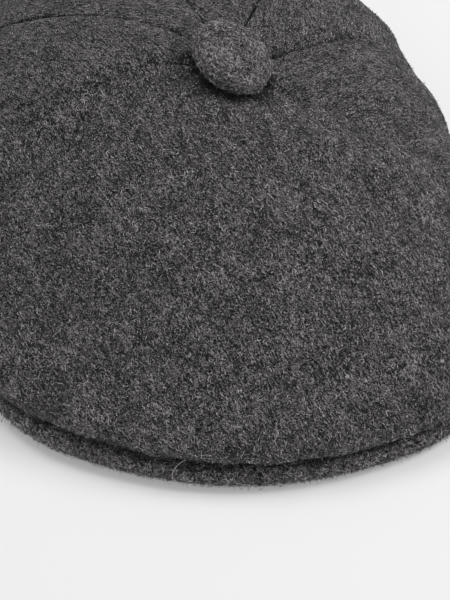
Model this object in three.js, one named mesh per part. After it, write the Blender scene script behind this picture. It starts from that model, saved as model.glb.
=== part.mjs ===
// A wool cap with a short stiff peak and a covered button, lying on a flat surface.
//
// The crown is sewn from one wide front panel and five narrower panels that meet under the
// button. It is empty, so it has slumped to the left and falls off early at the right and the
// rear. Its front is rolled over the peak, which shows as a thin second edge below the roll.
// The panels end at a headband round the head opening, and the cap rests on that band's rim.
//
// Millimetres, +Z up. The peak points to -Y, and +X is at the right for someone who faces it.
// The origin is the middle of the footprint, on the surface that the cap lies on.

import * as THREE from "three";

// Driving sizes

const CLEARANCE = 0.3; // left between neighbouring pieces

const CLOTH = {
  wall: 2.2, // pressed wool with its interlining
  tuckOnPeak: 12, // how far the front runs in under itself, on top of the peak
  sewnBehindEdge: 8, // least distance of that hem from the peak's edge
  hemHeight: 2.6, // height of the sewn hem beside the headband
};

const HEADBAND = {
  halfWidth: 64, // inside
  halfLength: 111, // inside
  wall: 3,
  height: 28,
  yaw: THREE.MathUtils.degToRad(7), // the soft rear has swung to the left
  segments: 72,
};

const APEX = {
  x: -5.3,
  y: -12,
  height: 64,
  hole: 3, // radius of the hole where the panels meet
  slope: 5, // degrees below level, just outside the hole
  leanRight: 0.22, // fall to the right and to the front, for each millimetre
  leanFront: 0.06,
  leanSpread: 34,
};

const BUTTON = {
  radius: 14,
  shank: 1.6, // radius
  shankEnd: -4, // heights along the button's axis, from the apex
  back: 2.6,
  widest: 5.8,
  top: 11.2,
  leanRight: 0.467, // sideways and forward parts of its axis, which has length 1
  leanFront: 0.216,
  sides: 32,
};

const PEAK = {
  thickness: 5,
  edgeHeight: 1.1, // underside of the front edge, above the surface
  rise: 4, // from the front edge up to the headband, where the peak is widest
  fullWidth: 38, // front to rear, where the whole rise is reached
  columns: 36,
  rows: 7,
  edgeSteps: 6,
};

// Azimuths are in degrees about the apex, or for the peak about the point (0, APEX.y).
// 0 is the front and 90 the right.
const CROWN_SECTIONS = table(
  ["azimuth", "reach", "foldRadius", "foldHeight", "upperAngle", "lowerAngle", "onPeak"],
  [
    [0, 132.8, 4.0, 11.8, 62, 90, 1],
    [17, 133.2, 4.0, 11.8, 62, 90, 1],
    [34, 131.0, 4.0, 11.9, 62, 90, 1],
    [50, 119.5, 5.0, 13.0, 60, 90, 1],
    [62, 103.5, 8.0, 16.0, 56, 88, 1],
    [75, 88.0, 10.5, 18.6, 50, 80, 0.9],
    [88, 80.4, 11.0, 20.5, 42, 72, 0],
    [104, 79.6, 12.0, 21.5, 34, 66, 0],
    [128, 85.8, 13.0, 22.0, 34, 64, 0],
    [147, 101.0, 15.0, 22.0, 38, 62, 0],
    [164, 119.5, 15.0, 21.0, 44, 60, 0],
    [180, 131.0, 15.0, 21.0, 46, 60, 0],
    [200, 132.5, 17.0, 22.0, 46, 60, 0],
    [224, 122.5, 18.0, 23.0, 46, 60, 0],
    [252, 113.0, 18.0, 23.0, 46, 62, 0],
    [276, 110.0, 16.0, 22.0, 50, 68, 0],
    [290, 110.0, 13.0, 20.8, 54, 78, 0.9],
    [301, 113.5, 9.0, 17.0, 58, 86, 1],
    [314, 119.5, 5.5, 13.6, 60, 90, 1],
    [328, 124.2, 4.0, 12.0, 62, 90, 1],
    [344, 128.6, 4.0, 11.8, 62, 90, 1],
  ],
);

// A seam leaves the button turned by "twist" and swings to its azimuth on the way down.
// "twistReach" is the share of the way to the fold in which the twist dies out.
const SEAMS = table(
  ["name", "azimuth", "twist", "twistReach"],
  [
    ["right_front", 77, 0, 0.3],
    ["right_rear", 132, -4, 0.3],
    ["rear_right", 166, 0, 0.3],
    ["rear_left", 204, -14, 0.35],
    ["left_rear", 244, -27, 0.3],
    ["left_front", 289, -20, 0.24],
  ],
);

const PANELS = table(
  ["name", "from", "to", "columns", "puff"],
  [
    ["crown_front", "left_front", "right_front", 30, 1.2],
    ["crown_right", "right_front", "right_rear", 9, 1.6],
    ["crown_rear_right", "right_rear", "rear_right", 7, 1.6],
    ["crown_rear", "rear_right", "rear_left", 12, 1.4],
    ["crown_rear_left", "rear_left", "left_rear", 9, 1.4],
    ["crown_left", "left_rear", "left_front", 9, 1.8],
  ],
);

const PEAK_SECTIONS = table(
  ["azimuth", "reach", "lift"],
  [
    [-70, 79.0, 0.6],
    [-64, 90.0, 0.8],
    [-56, 104.0, 1.0],
    [-46, 118.3, 1.1],
    [-32, 130.9, 1.0],
    [-16, 134.4, 0.5],
    [0, 135.6, 0.0],
    [16, 133.6, 0.0],
    [32, 129.2, 0.0],
    [46, 117.0, 0.0],
    [56, 102.0, 0.0],
    [64, 88.0, 0.0],
    [70, 77.0, 0.0],
  ],
);

// Broad swells and hollows of the slumped crown, and the soft folds that cross it.
// "along" is the direction of the fold's length, in degrees from +X.
const FOLDS = table(
  ["x", "y", "along", "length", "width", "height"],
  [
    [-52, 12, 80, 60, 40, 5.5],
    [44, 44, 120, 52, 30, -1.5],
    [-62, -38, 205, 46, 7, -2.2],
    [-44, -22, 205, 42, 8, 1.6],
    [34, -46, 8, 30, 8, 1.3],
    [38, -60, 4, 34, 12, -1.2],
    [24, 4, 60, 14, 6, -1.6],
    [-30, -86, 150, 46, 18, 1.0],
  ],
);

const PUCKERS = { count: 11, height: 0.9, spread: 13 }; // small gathers round the button

const PUFF_START = 20; // distance from the apex at which a panel stands fully proud of its seams
const TOP_HANDLE = 0.42; // how far the top and the shoulder hold their slope, as shares of the
const SHOULDER_HANDLE = 0.36; // distance between them

const ROWS = { top: 16, fold: 6, under: 3 }; // mesh rows down a panel
const STEP = 0.004; // share of a panel over which its slopes are measured

const WOOL = { color: "#494748", roughness: 0.95, metalness: 0 };
const WOOL_TRIM = { color: "#403e3f", roughness: 0.95, metalness: 0 };

// Small helpers

function table(columns, rows) {
  return rows.map((row) => Object.fromEntries(columns.map((name, i) => [name, row[i]])));
}

function mix(a, b, share) {
  return a + (b - a) * share;
}

function spread(count, make) {
  return Array.from({ length: count + 1 }, (_, i) => make(i / count));
}

function compass(azimuth) {
  const angle = THREE.MathUtils.degToRad(azimuth);
  return new THREE.Vector2(Math.sin(angle), -Math.cos(angle));
}

// Smooth value of one column between the rows of a table, round the full circle if it closes.
function between(rows, azimuth, column, closes) {
  const count = rows.length;
  const turn = closes ? THREE.MathUtils.euclideanModulo(azimuth, 360) : azimuth;
  const row = (i) => {
    if (!closes) return rows[THREE.MathUtils.clamp(i, 0, count - 1)];
    const lap = Math.floor(i / count);
    const found = rows[i - lap * count];
    return { ...found, azimuth: found.azimuth + lap * 360 };
  };
  let i = rows.findLastIndex((found) => found.azimuth <= turn);
  if (!closes) i = THREE.MathUtils.clamp(i, 0, count - 2);
  const [before, start, end, after] = [row(i - 1), row(i), row(i + 1), row(i + 2)];
  const span = end.azimuth - start.azimuth;
  const slopeIn = ((end[column] - before[column]) / (end.azimuth - before.azimuth)) * span;
  const slopeOut = ((after[column] - start[column]) / (after.azimuth - start.azimuth)) * span;
  const t = (turn - start.azimuth) / span;
  const bend = t * t * (3 - 2 * t);
  const pull = t * (1 - t) * ((1 - t) * slopeIn - t * slopeOut);
  return mix(start[column], end[column], bend) + pull;
}

// Distance from a point along a direction to the headband's outer face, plus a clearance.
function reachToHeadband(from, direction) {
  const centre = new THREE.Vector2();
  const start = from.clone().rotateAround(centre, -HEADBAND.yaw);
  const step = direction.clone().rotateAround(centre, -HEADBAND.yaw);
  const width = HEADBAND.halfWidth + HEADBAND.wall + CLEARANCE;
  const length = HEADBAND.halfLength + HEADBAND.wall + CLEARANCE;
  const a = (step.x / width) ** 2 + (step.y / length) ** 2;
  const b = (start.x * step.x) / width ** 2 + (start.y * step.y) / length ** 2;
  const c = (start.x / width) ** 2 + (start.y / length) ** 2 - 1;
  return (Math.sqrt(b * b - a * c) - b) / a;
}

// A closed wall between an outer and an inner grid of points, each given as rows of columns.
function wallGeometry(outer, inner) {
  const rows = outer.length;
  const columns = outer[0].length;
  const points = [...outer.flat(), ...inner.flat()];
  const faces = [];
  const at = (side, row, column) => side * rows * columns + row * columns + column;
  const quad = (a, b, c, d) => faces.push(a, b, c, a, c, d);
  for (let row = 0; row < rows - 1; row += 1) {
    for (let column = 0; column < columns - 1; column += 1) {
      quad(at(0, row, column), at(0, row + 1, column), at(0, row + 1, column + 1), at(0, row, column + 1));
      quad(at(1, row, column), at(1, row, column + 1), at(1, row + 1, column + 1), at(1, row + 1, column));
    }
    const last = columns - 1;
    quad(at(0, row, 0), at(1, row, 0), at(1, row + 1, 0), at(0, row + 1, 0));
    quad(at(0, row, last), at(0, row + 1, last), at(1, row + 1, last), at(1, row, last));
  }
  for (let column = 0; column < columns - 1; column += 1) {
    const last = rows - 1;
    quad(at(0, 0, column), at(0, 0, column + 1), at(1, 0, column + 1), at(1, 0, column));
    quad(at(0, last, column), at(1, last, column), at(1, last, column + 1), at(0, last, column + 1));
  }
  return pointsGeometry(points, faces);
}

// A solid skinned over closed loops of points, with flat ends.
function loopGeometry(loops) {
  const sides = loops[0].length;
  const points = loops.flat();
  const faces = [];
  loops.slice(1).forEach((_, row) => {
    for (let i = 0; i < sides; i += 1) {
      const next = (i + 1) % sides;
      const [a, b] = [row * sides + i, row * sides + next];
      faces.push(a, b + sides, a + sides, a, b, b + sides);
    }
  });
  const last = (loops.length - 1) * sides;
  for (let i = 1; i < sides - 1; i += 1) {
    faces.push(0, i + 1, i);
    faces.push(last, last + i, last + i + 1);
  }
  return pointsGeometry(points, faces);
}

function pointsGeometry(points, faces) {
  const geometry = new THREE.BufferGeometry().setFromPoints(points);
  geometry.setIndex(faces);
  geometry.computeVertexNormals();
  return geometry;
}

// The peak

const PEAK_CENTRE = new THREE.Vector2(0, APEX.y);

function peakReach(azimuth) {
  return between(PEAK_SECTIONS, azimuth, "reach", false);
}

// Height of the peak's top face at a place between the headband and the front edge.
function peakTop(azimuth, reach) {
  const outer = peakReach(azimuth);
  const width = outer - reachToHeadband(PEAK_CENTRE, compass(azimuth));
  const share = THREE.MathUtils.clamp((outer - reach) / width, 0, 1);
  const rise = PEAK.rise * Math.min(1, width / PEAK.fullWidth) * share ** 1.3;
  const lift = between(PEAK_SECTIONS, azimuth, "lift", false);
  return PEAK.edgeHeight + PEAK.thickness + rise + lift;
}

function peakLoop(azimuth) {
  const direction = compass(azimuth);
  const inner = reachToHeadband(PEAK_CENTRE, direction);
  const outer = peakReach(azimuth);
  const radius = PEAK.thickness / 2;
  const flatEnd = outer - radius;
  const place = (reach, height) =>
    new THREE.Vector3(direction.x * reach, PEAK_CENTRE.y + direction.y * reach, height);
  const top = spread(PEAK.rows, (t) => {
    const reach = mix(inner, flatEnd, t);
    return place(reach, peakTop(azimuth, reach));
  });
  const edge = spread(PEAK.edgeSteps, (t) => {
    const angle = Math.PI * (0.5 - t);
    const middle = peakTop(azimuth, flatEnd) - radius;
    return place(flatEnd + radius * Math.cos(angle), middle + radius * Math.sin(angle));
  });
  const under = top.map((point) => point.clone().setZ(point.z - PEAK.thickness)).reverse();
  return [...top.slice(0, -1), ...edge, ...under.slice(1)];
}

function makePeak() {
  const from = PEAK_SECTIONS[0].azimuth;
  const to = PEAK_SECTIONS.at(-1).azimuth;
  return loopGeometry(spread(PEAK.columns, (t) => peakLoop(mix(from, to, t))));
}

// The crown

const APEX_PLACE = new THREE.Vector2(APEX.x, APEX.y);

function seamAzimuth(seam, down) {
  return seam.azimuth + seam.twist * Math.exp(-Math.min(down, 1) / seam.twistReach);
}

// Height that the slump, the folds and the gathers add at a place on the crown.
function slumpHeight(x, y) {
  const fromApex = new THREE.Vector2(x - APEX.x, y - APEX.y);
  const reach = fromApex.length();
  const lean = APEX.leanRight * fromApex.x - APEX.leanFront * fromApex.y;
  let height = -lean * Math.exp(-((reach / APEX.leanSpread) ** 2));
  for (const fold of FOLDS) {
    const angle = THREE.MathUtils.degToRad(fold.along);
    const offset = new THREE.Vector2(x - fold.x, y - fold.y).rotateAround(new THREE.Vector2(), -angle);
    height += fold.height * Math.exp(-((offset.x / fold.length) ** 2) - (offset.y / fold.width) ** 2);
  }
  const pucker = Math.cos(PUCKERS.count * fromApex.angle()) * Math.exp(-reach / PUCKERS.spread);
  return height + PUCKERS.height * pucker;
}

// Azimuth about the peak's centre of a place, kept within the peak.
function peakAzimuthOf(x, y) {
  const azimuth = THREE.MathUtils.radToDeg(Math.atan2(x, PEAK_CENTRE.y - y));
  const limit = PEAK_SECTIONS.at(-1).azimuth;
  return THREE.MathUtils.clamp(azimuth, -limit, limit);
}

// Where the cloth of one section ends: on the peak at the front, and beside the headband elsewhere.
function hemPlace(azimuth, section) {
  const direction = compass(azimuth);
  const band = reachToHeadband(APEX_PLACE, direction);
  const foldX = APEX.x + direction.x * section.reach;
  const foldY = APEX.y + direction.y * section.reach;
  const edgeAzimuth = peakAzimuthOf(foldX, foldY);
  const edge = compass(edgeAzimuth).multiplyScalar(peakReach(edgeAzimuth)).add(PEAK_CENTRE);
  const sewn = edge.distanceTo(APEX_PLACE) - CLOTH.sewnBehindEdge;
  const onPeak = Math.min(section.reach - CLOTH.tuckOnPeak, sewn);
  const reach = Math.max(band, mix(band, onPeak, section.onPeak));
  const x = APEX.x + direction.x * reach;
  const y = APEX.y + direction.y * reach;
  const top = peakTop(peakAzimuthOf(x, y), Math.hypot(x, PEAK_CENTRE.y - y)) + CLEARANCE;
  return new THREE.Vector2(reach, mix(CLOTH.hemHeight, top, section.onPeak));
}

// Outer line of the crown in one upright section: reach from the apex axis, and height.
// "down" runs from 0 at the apex hole to 1 at the fold, 2 below it and 3 at the hem.
function sectionPoint(section, hem, down) {
  const upper = THREE.MathUtils.degToRad(section.upperAngle);
  const lower = THREE.MathUtils.degToRad(section.lowerAngle);
  const foldPoint = (angle) =>
    new THREE.Vector2(
      section.reach - section.foldRadius * (1 - Math.cos(angle)),
      section.foldHeight + section.foldRadius * Math.sin(angle),
    );
  if (down > 2) return foldPoint(-lower).lerp(hem, down - 2);
  if (down > 1) return foldPoint(mix(upper, -lower, down - 1));
  const start = new THREE.Vector2(APEX.hole, APEX.height);
  const end = foldPoint(upper);
  const length = start.distanceTo(end);
  const fall = THREE.MathUtils.degToRad(APEX.slope);
  const first = new THREE.Vector2(Math.cos(fall), -Math.sin(fall)).multiplyScalar(TOP_HANDLE * length);
  const second = new THREE.Vector2(-Math.sin(upper), Math.cos(upper))
    .multiplyScalar(SHOULDER_HANDLE * length);
  return new THREE.CubicBezierCurve(start, start.clone().add(first), end.clone().add(second), end)
    .getPoint(down);
}

function crownPoint(azimuth, down, puff) {
  const section = {};
  for (const column of Object.keys(CROWN_SECTIONS[0])) {
    section[column] = between(CROWN_SECTIONS, azimuth, column, true);
  }
  section.onPeak = THREE.MathUtils.clamp(section.onPeak, 0, 1);
  // Where there is little room beside the headband, the fold stops before it runs in under itself
  const room = section.reach - reachToHeadband(APEX_PLACE, compass(azimuth)) - CLOTH.wall;
  const steepest = Math.acos(THREE.MathUtils.clamp(1 - room / section.foldRadius, -1, 1));
  section.lowerAngle = Math.min(section.lowerAngle, THREE.MathUtils.radToDeg(steepest));
  const hem = hemPlace(azimuth, section);
  const point = sectionPoint(section, hem, down);
  const ahead = sectionPoint(section, hem, Math.min(down + STEP, 3));
  const behind = sectionPoint(section, hem, Math.max(down - STEP, 0));
  const along = ahead.sub(behind).normalize();
  const puffed = puff * Math.max(0, 1 - Math.max(down - 1, 0) / 1.5);
  point.x -= along.y * puffed;
  point.y += along.x * puffed;
  const direction = compass(azimuth);
  const x = APEX.x + direction.x * point.x;
  const y = APEX.y + direction.y * point.x;
  const free = 1 - Math.min(down, 1) ** 4;
  return new THREE.Vector3(x, y, point.y + slumpHeight(x, y) * free);
}

// A place on a panel: "across" runs from 0 at one seam to 1 at the next.
function panelPoint(panel, across, down) {
  const from = SEAMS.find((seam) => seam.name === panel.from);
  const to = SEAMS.find((seam) => seam.name === panel.to);
  const start = seamAzimuth(from, down);
  const turn = THREE.MathUtils.euclideanModulo(seamAzimuth(to, down) - start, 360);
  const azimuth = start + turn * across;
  const reach = crownPoint(azimuth, down, 0).distanceTo(new THREE.Vector3(APEX.x, APEX.y, APEX.height));
  const gap = THREE.MathUtils.radToDeg(Math.asin((CLEARANCE / 2) / Math.max(reach, APEX.hole)));
  const inset = gap * (1 - 2 * across);
  const puff = panel.puff * (1 - (2 * across - 1) ** 4) * Math.min(1, reach / PUFF_START);
  return crownPoint(azimuth + inset, down, puff);
}

// The same place on the inside of the cloth, kept clear of the headband and the apex hole.
function liningPoint(panel, across, down) {
  const side = panelPoint(panel, Math.min(across + STEP, 1), down)
    .sub(panelPoint(panel, Math.max(across - STEP, 0), down));
  const fall = panelPoint(panel, across, Math.min(down + STEP, 3))
    .sub(panelPoint(panel, across, Math.max(down - STEP, 0)));
  const inward = side.cross(fall).normalize().multiplyScalar(CLOTH.wall);
  const outer = panelPoint(panel, across, down);
  const point = outer.clone().add(inward);
  const place = new THREE.Vector2(point.x, point.y).sub(APEX_PLACE);
  const kept = new THREE.Vector2(outer.x, outer.y).sub(APEX_PLACE);
  const direction = kept.clone().normalize();
  const least = point.z < HEADBAND.height + 1 ? reachToHeadband(APEX_PLACE, direction) : APEX.hole;
  const reach = Math.max(place.dot(direction), least);
  point.x = APEX.x + direction.x * reach;
  point.y = APEX.y + direction.y * reach;
  return point;
}

function makePanel(panel) {
  const top = spread(ROWS.top, (t) => t);
  const fold = spread(ROWS.fold, (t) => 1 + t).slice(1);
  const under = spread(ROWS.under, (t) => 2 + t).slice(1);
  const downs = [...top, ...fold, ...under];
  const grid = (place) =>
    downs.map((down) => spread(panel.columns, (across) => place(panel, across, down)));
  return wallGeometry(grid(panelPoint), grid(liningPoint));
}

// The headband

function makeHeadband() {
  const oval = (grow) => {
    const width = HEADBAND.halfWidth + grow;
    const length = HEADBAND.halfLength + grow;
    const curve = new THREE.EllipseCurve(0, 0, width, length, 0, Math.PI * 2, false, HEADBAND.yaw);
    return curve.getPoints(HEADBAND.segments).slice(0, -1);
  };
  const shape = new THREE.Shape(oval(HEADBAND.wall));
  shape.holes.push(new THREE.Path(oval(0)));
  return new THREE.ExtrudeGeometry(shape, { depth: HEADBAND.height, bevelEnabled: false });
}

// The covered button, with the shank that goes down between the panels

function makeButton() {
  const { radius, shank, back, widest, top } = BUTTON;
  const lower = new THREE.QuadraticBezierCurve(
    new THREE.Vector2(radius * 0.72, back),
    new THREE.Vector2(radius, back),
    new THREE.Vector2(radius, widest),
  );
  const dome = new THREE.CubicBezierCurve(
    new THREE.Vector2(radius, widest),
    new THREE.Vector2(radius, mix(widest, top, 0.62)),
    new THREE.Vector2(radius * 0.6, top),
    new THREE.Vector2(0, top),
  );
  const profile = [
    new THREE.Vector2(0, BUTTON.shankEnd),
    new THREE.Vector2(shank, BUTTON.shankEnd),
    new THREE.Vector2(shank, back),
    ...lower.getPoints(4),
    ...dome.getPoints(7).slice(1),
  ];
  return new THREE.LatheGeometry(profile, BUTTON.sides);
}

// Assembly

function piece(name, geometry, finish) {
  const mesh = new THREE.Mesh(geometry, new THREE.MeshStandardMaterial(finish));
  mesh.name = name;
  return mesh;
}

const cap = new THREE.Group();
for (const panel of PANELS) {
  cap.add(piece(panel.name, makePanel(panel), WOOL));
}
cap.add(piece("peak", makePeak(), WOOL));
cap.add(piece("headband", makeHeadband(), WOOL_TRIM));

const button = piece("button", makeButton(), WOOL);
const upright = Math.sqrt(1 - BUTTON.leanRight ** 2 - BUTTON.leanFront ** 2);
const axis = new THREE.Vector3(BUTTON.leanRight, -BUTTON.leanFront, upright);
button.quaternion.setFromUnitVectors(new THREE.Vector3(0, 1, 0), axis);
button.position.set(APEX.x, APEX.y, APEX.height + slumpHeight(APEX.x, APEX.y));
cap.add(button);

// The footprint's middle goes to the origin
cap.updateMatrixWorld(true);
const outline = new THREE.Box3().setFromObject(cap, true);
const middle = outline.getCenter(new THREE.Vector3());
cap.position.set(-middle.x, -middle.y, -outline.min.z);

export default cap;
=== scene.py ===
import math

import bpy
import numpy as np
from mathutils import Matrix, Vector


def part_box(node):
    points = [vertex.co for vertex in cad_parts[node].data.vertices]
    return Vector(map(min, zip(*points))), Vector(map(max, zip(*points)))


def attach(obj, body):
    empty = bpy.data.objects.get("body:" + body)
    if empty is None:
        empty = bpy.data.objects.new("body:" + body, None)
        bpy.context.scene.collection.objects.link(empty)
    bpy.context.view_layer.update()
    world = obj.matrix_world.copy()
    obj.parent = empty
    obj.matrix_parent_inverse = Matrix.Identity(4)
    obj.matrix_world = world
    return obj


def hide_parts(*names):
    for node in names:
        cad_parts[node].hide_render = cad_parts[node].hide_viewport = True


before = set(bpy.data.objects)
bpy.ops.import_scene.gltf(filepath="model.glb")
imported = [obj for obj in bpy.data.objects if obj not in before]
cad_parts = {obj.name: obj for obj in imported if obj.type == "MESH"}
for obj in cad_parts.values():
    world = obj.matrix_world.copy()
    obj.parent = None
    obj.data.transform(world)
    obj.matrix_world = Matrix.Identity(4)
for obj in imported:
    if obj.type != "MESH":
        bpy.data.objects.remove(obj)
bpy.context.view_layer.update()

# Headband
# A band of the same wool, folded double to about 3 mm and pressed, goes round the head opening and
# is sewn to the hems of the crown and the peak. The cap rests on its lower edge. The photo doesn't
# show it. Sizes are in millimetres about the middle of the head opening: the peak is at -Y.

BAND_HALF_WIDTH = 64
BAND_HALF_LENGTH = 111
BAND_WALL = 3
BAND_HEIGHT = 28
BAND_YAW = math.radians(7)
BAND_EDGE = 1
BAND_SIDES = 240
BAND_EDGE_STEPS = 6
STREAK_LENGTH = 1.6
STREAK_WIDTH = 0.7
MM = 0.001

band_low, band_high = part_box("headband")
opening_centre = (Vector(band_low) + Vector(band_high)) / 2


def to_row(points):
    """Millimetres about the head opening to metres in the row frame."""
    return points.reshape(-1, 3) * MM + np.array([opening_centre.x, opening_centre.y, 0])


def turned(x, y, angle):
    """A place turned about the origin."""
    return x * np.cos(angle) - y * np.sin(angle), x * np.sin(angle) + y * np.cos(angle)


def linear(hex_color):
    """An sRGB hex colour as linear RGBA."""
    channels = [int(hex_color[i:i + 2], 16) / 255 for i in (1, 3, 5)]
    return [c / 12.92 if c <= 0.04045 else ((c + 0.055) / 1.055) ** 2.4 for c in channels] + [1]


def new_material(name):
    material = bpy.data.materials.new(name)
    material.use_nodes = True
    material.node_tree.nodes.clear()
    return material


def add(material, kind, inputs=(), stops=(), **settings):
    """Adds one node with its settings, its linked or constant inputs and a ramp's colour stops."""
    tree = material.node_tree
    node = tree.nodes.new(kind)
    for name, value in settings.items():
        setattr(node, name, value)
    for name, value in dict(inputs).items():
        if isinstance(value, bpy.types.NodeSocket):
            tree.links.new(value, node.inputs[name])
        else:
            node.inputs[name].default_value = value
    for index, (position, color) in enumerate(stops):
        elements = node.color_ramp.elements
        stop = elements[index] if index < len(elements) else elements.new(position)
        stop.position = position
        stop.color = linear(color)
    return node


# Plain wool pressed flat: short darker and paler streaks of fibre, with hardly any nap
band_wool = new_material("pressed_band_wool")
cloth = add(band_wool, "ShaderNodeAttribute", attribute_name="cloth").outputs["Vector"]
stretched = add(band_wool, "ShaderNodeVectorMath", {
    0: cloth, 1: (1 / (STREAK_LENGTH * MM), 1 / (STREAK_WIDTH * MM), 1)}, operation="MULTIPLY")
streaks = add(band_wool, "ShaderNodeTexNoise", {
    "Vector": stretched.outputs[0], "Scale": 1, "Detail": 3, "Roughness": 0.7},
    noise_dimensions="2D").outputs["Fac"]
band_color = add(band_wool, "ShaderNodeValToRGB", {"Fac": streaks}, [
    (0.25, "#2c2a2b"), (0.5, "#3f3d3e"), (0.8, "#565354")]).outputs["Color"]
band_bump = add(band_wool, "ShaderNodeBump", {"Height": streaks, "Strength": 0.6, "Distance": 0.0003})
band_skin = add(band_wool, "ShaderNodeBsdfPrincipled", {
    "Base Color": band_color, "Roughness": 0.95, "Normal": band_bump.outputs[0],
    "Specular IOR Level": 0.15, "Sheen Weight": 0.2})
add(band_wool, "ShaderNodeOutputMaterial", {"Surface": band_skin.outputs[0]})


def quads(at):
    """Faces between the neighbours of a grid of vertex numbers."""
    return np.stack([at[:-1, :-1], at[1:, :-1], at[1:, 1:], at[:-1, 1:]], -1).reshape(-1, 4).tolist()


def cloth_places(cloth_mm):
    """The cloth's own coordinates, as vectors in metres for an attribute."""
    flat = cloth_mm.reshape(-1, 2) * MM
    return np.concatenate([flat, np.zeros((len(flat), 1))], axis=1)


def new_piece(name, points, faces, material, slot, **attributes):
    """A smooth mesh on the body, from points in millimetres and faces of three or more corners."""
    mesh = bpy.data.meshes.new(name)
    mesh.from_pydata(to_row(points).tolist(), [], faces)
    mesh.shade_smooth()
    for title, values in attributes.items():
        kind, field = ("FLOAT_VECTOR", "vector") if values.ndim == 2 else ("FLOAT", "value")
        mesh.attributes.new(title, kind, "POINT").data.foreach_set(field, values.ravel())
    mesh.materials.append(material)
    made = bpy.data.objects.new(name, mesh)
    bpy.context.scene.collection.objects.link(made)
    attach(made, "root")
    return made


band_section = []
for corner in range(4):
    inset = BAND_EDGE if corner > 1 else BAND_WALL - BAND_EDGE
    level = BAND_EDGE if corner in (0, 3) else BAND_HEIGHT - BAND_EDGE
    for angle in np.radians(90 * (corner - 1) + np.linspace(0, 90, BAND_EDGE_STEPS)):
        band_section.append((inset + BAND_EDGE * math.cos(angle), level + BAND_EDGE * math.sin(angle)))
grow, height = (np.array(band_section)[:, k:k + 1] for k in (0, 1))
spin = np.linspace(0, 2 * math.pi, BAND_SIDES, endpoint=False)
band_x, band_y = turned(
    (BAND_HALF_WIDTH + grow) * np.cos(spin), (BAND_HALF_LENGTH + grow) * np.sin(spin), BAND_YAW)
travel = np.concatenate([[0], np.cumsum(np.hypot(np.diff(band_x[0]), np.diff(band_y[0])))])
at = np.arange(band_x.size).reshape(band_x.shape)
at = np.concatenate([at, at[:1]])
at = np.concatenate([at, at[:, :1]], axis=1)
everywhere = np.zeros_like(band_x)
band = new_piece("wool_headband", np.stack([band_x, band_y, height + everywhere], -1), quads(at.T),
                 band_wool, "headband_wool",
                 cloth=cloth_places(np.stack([travel + everywhere, height + grow + everywhere], -1)))
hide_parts("headband")

# Peak
# A short stiff peak: a board about 5 mm thick, covered on both faces with milled wool. Its rounded
# edge shows below the rolled front of the crown, whose hem is sewn down on top of it.

APEX_Y = -12
SEAM_GAP = 0.3
PEAK_THICKNESS = 5
PEAK_EDGE_HEIGHT = 1.1
PEAK_RISE = 4
PEAK_FULL_WIDTH = 38
PEAK_CURVE = 1.3
PEAK_ROWS = 44
PEAK_EDGE_STEPS = 15
PEAK_COLUMNS = 170
PEAK_TWILL_SLANT = math.radians(30)
PEAK_FIBRES = 26000
NAP_ON_PEAK_FACES = 0.03
NAP_ROWS_AT_EDGE = 12


def table(columns, rows):
    """Rows of numbers as one array for each named column."""
    return dict(zip(columns.split(), np.array(rows, dtype=float).T))


# Azimuth about the middle of the opening's width, level with the button, reach of the peak's edge
# from there, and how far the edge is lifted
PEAK = table("azimuth reach lift", [
    [-70, 79.0, 0.6],
    [-64, 90.0, 0.8],
    [-56, 104.0, 1.0],
    [-46, 118.3, 1.1],
    [-32, 130.9, 1.0],
    [-16, 134.4, 0.5],
    [0, 135.6, 0.0],
    [16, 133.6, 0.0],
    [32, 129.2, 0.0],
    [46, 117.0, 0.0],
    [56, 102.0, 0.0],
    [64, 88.0, 0.0],
    [70, 77.0, 0.0],
])


def between(rows, column, azimuth, closes=False):
    """Smooth value of one column between the rows of a table."""
    places, values = rows["azimuth"], rows[column]
    if closes:
        azimuth = np.mod(azimuth, 360)
        places = np.concatenate([places[-2:] - 360, places, places[:2] + 360])
        values = np.concatenate([values[-2:], values, values[:2]])
    else:
        places = np.concatenate([places[:1], places, places[-1:]])
        values = np.concatenate([values[:1], values, values[-1:]])
    found = np.searchsorted(places, azimuth, side="right") - 1
    found = np.clip(found, 1, len(places) - 3)
    a0, a1, a2, a3 = (places[found + k] for k in (-1, 0, 1, 2))
    v0, v1, v2, v3 = (values[found + k] for k in (-1, 0, 1, 2))
    span = a2 - a1
    slope_in = (v2 - v0) / (a2 - a0) * span
    slope_out = (v3 - v1) / (a3 - a1) * span
    t = (azimuth - a1) / span
    pull = t * (1 - t) * ((1 - t) * slope_in - t * slope_out)
    return v1 + (v2 - v1) * t * t * (3 - 2 * t) + pull


def compass(azimuth):
    """Direction of an azimuth in degrees: 0 is the front and 90 the right."""
    angle = np.radians(azimuth)
    return np.sin(angle), -np.cos(angle)


def reach_to_band(x, y, azimuth):
    """Distance from a place, in one direction, to just outside the headband."""
    x, y = turned(x, y, -BAND_YAW)
    step_x, step_y = turned(*compass(azimuth), -BAND_YAW)
    width = BAND_HALF_WIDTH + BAND_WALL + SEAM_GAP
    length = BAND_HALF_LENGTH + BAND_WALL + SEAM_GAP
    a = (step_x / width) ** 2 + (step_y / length) ** 2
    b = x * step_x / width**2 + y * step_y / length**2
    c = (x / width) ** 2 + (y / length) ** 2 - 1
    return (np.sqrt(b * b - a * c) - b) / a


def peak_top(azimuth, reach):
    """Height of the peak's upper face."""
    outer = between(PEAK, "reach", azimuth)
    width = outer - reach_to_band(0, APEX_Y, azimuth)
    share = np.clip((outer - reach) / width, 0, 1)
    rise = PEAK_RISE * np.minimum(1, width / PEAK_FULL_WIDTH) * share**PEAK_CURVE
    return PEAK_EDGE_HEIGHT + PEAK_THICKNESS + rise + between(PEAK, "lift", azimuth)


LEAST_SIZE = 1e-6


def unit(vectors):
    """Vectors made 1 long."""
    return vectors / np.maximum(np.linalg.norm(vectors, axis=-1, keepdims=True), LEAST_SIZE)


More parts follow.
